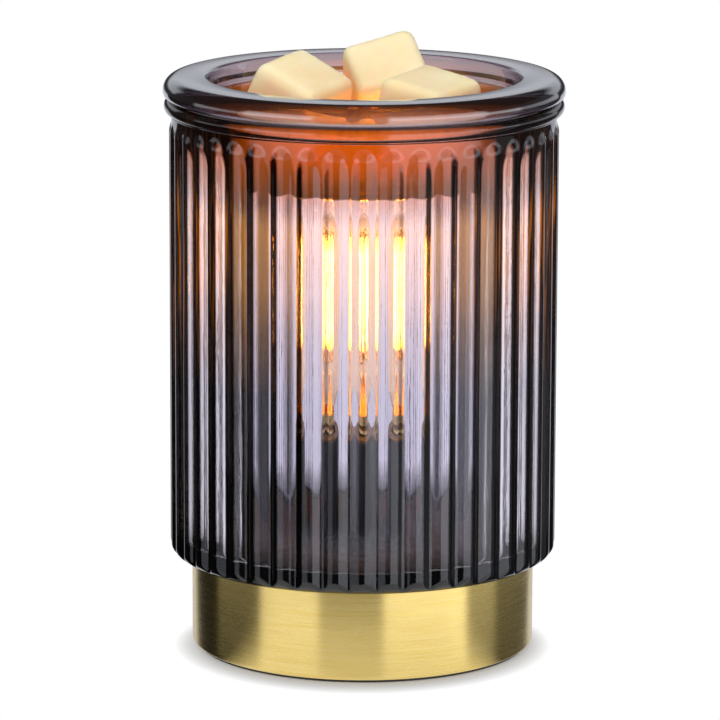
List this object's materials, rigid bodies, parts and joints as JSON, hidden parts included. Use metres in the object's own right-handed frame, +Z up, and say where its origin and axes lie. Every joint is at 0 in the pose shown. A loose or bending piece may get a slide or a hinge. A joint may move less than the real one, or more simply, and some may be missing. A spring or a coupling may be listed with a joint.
{
  "type": "wax melt warmer",
  "caption": "Electric wax warmer: fluted smoked-glass jar with a lift-off glass dish of wax cubes, lit from inside by a screw-in filament lamp on a brushed gold drum base.",
  "frame": {"origin": "on the axis of the jar, on the surface that the foot pad stands on", "axes": "+Z up along the axis, -Y towards the viewer, the cord entry on the +Y side"},
  "size_m": [0.11, 0.11, 0.1684],
  "materials": {
    "smoked_glass": "smoked pressed glass, polished",
    "wax": "soft translucent cream wax",
    "lamp_glass": "clear lamp glass",
    "filament": "glowing wire",
    "lamp_wire": "drawn wire",
    "brass": "pressed brass",
    "black_insulator": "black glass insulator",
    "black_holder": "black moulded lamp-holder",
    "white_ceramic": "plain ceramic",
    "black_rubber": "soft matt rubber",
    "plated_steel": "zinc plated",
    "brushed_gold": "satin, brushed round the drum",
    "black_plate": "black powder coat",
    "black_plastic": "black moulded nylon",
    "white_plastic": "natural moulded nylon",
    "brown_wire": "smooth insulation",
    "blue_wire": "smooth insulation"
  },
  "bodies": {
    "base": {"glass_shade": "smoked_glass", "socket_sleeve": "black_holder", "socket_cap": "black_holder", "socket_core": "white_ceramic", "socket_screw_shell": "brass", "socket_centre_contact": "brass", "socket_terminals": "brass", "upper_gasket": "black_rubber", "lower_gasket": "black_rubber", "foot_pad": "black_rubber", "nipple_tube": "plated_steel", "nipple_nut": "plated_steel", "lock_washer": "plated_steel", "cover_posts": "plated_steel", "cover_screws": "plated_steel", "base_shell": "brushed_gold", "bottom_cover": "black_plate", "cord_gland": "black_plastic", "gland_nut": "black_plastic", "terminal_block": "white_plastic", "live_wire": "brown_wire", "neutral_wire": "blue_wire"},
    "dish": {"glass_dish": "smoked_glass"},
    "wax_left": {"wax_cube_left": "wax"},
    "wax_rear": {"wax_cube_rear": "wax"},
    "wax_right": {"wax_cube_right": "wax"},
    "bulb_tip": {"bulb_contact": "brass"},
    "bulb": {"bulb_envelope": "lamp_glass", "bulb_stem": "lamp_glass", "bulb_filament": "filament", "filament_supports": "lamp_wire", "bulb_lead_wires": "lamp_wire", "bulb_cap": "brass", "bulb_cap_insulator": "black_insulator"}
  },
  "joints": [
    {"name": "dish_lift", "type": "slide", "parent": "base", "child": "dish", "axis": [0, 0, 1], "range_m": [0, 0.06]},
    {"name": "wax_left_lift", "type": "slide", "parent": "dish", "child": "wax_left", "axis": [0, 0, 1], "range_m": [0, 0.05]},
    {"name": "wax_rear_lift", "type": "slide", "parent": "dish", "child": "wax_rear", "axis": [0, 0, 1], "range_m": [0, 0.05]},
    {"name": "wax_right_lift", "type": "slide", "parent": "dish", "child": "wax_right", "axis": [0, 0, 1], "range_m": [0, 0.05]},
    {"name": "bulb_rise", "type": "slide", "parent": "base", "child": "bulb_tip", "axis": [0, 0, 1], "range_m": [0, 0.0099]},
    {"name": "bulb_turn", "type": "hinge", "parent": "bulb_tip", "child": "bulb", "pos_m": [0, 0, 0.064], "axis": [0, 0, 1], "range_deg": [0, 1260]}
  ],
  "couplings": [
    {"joint": "bulb_rise", "follows": "bulb_turn", "m_per_rad": 0.00044913}
  ]
}
